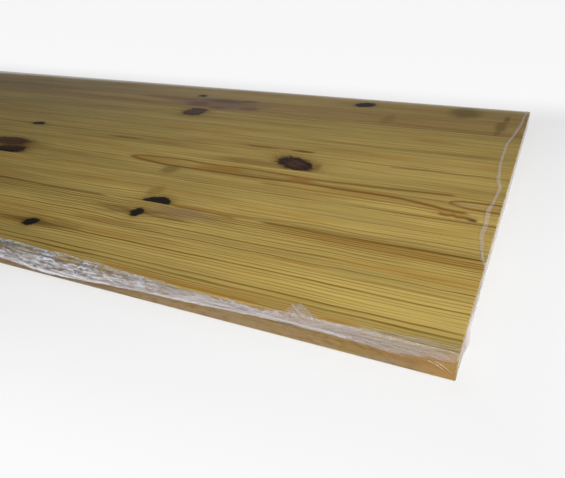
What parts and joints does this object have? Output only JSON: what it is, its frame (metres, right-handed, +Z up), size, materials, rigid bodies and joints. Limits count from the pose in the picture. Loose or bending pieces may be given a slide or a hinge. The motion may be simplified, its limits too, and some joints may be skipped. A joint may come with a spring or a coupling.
{
  "type": "laminated pine board",
  "caption": "Flat furniture board of pine staves glued edge to edge, with knots and straight grain, wrapped in clear shrink film with a gathered weld along one long edge.",
  "frame": {"origin": "middle of the bottom face, on the surface the board lies on", "axes": "+X along the grain towards the end seen at the picture's right, +Y across the staves away from the gathered weld, +Z up through the thickness"},
  "size_m": [1.2014, 0.5041, 0.0193],
  "materials": {
    "pine": "satin",
    "film": "gloss"
  },
  "bodies": {
    "root": {"stave_1": "pine", "stave_2": "pine", "stave_3": "pine", "stave_4": "pine", "stave_5": "pine", "stave_6": "pine", "stave_7": "pine", "stave_8": "pine", "stave_9": "pine", "shrink_film": "film"}
  },
  "joints": []
}
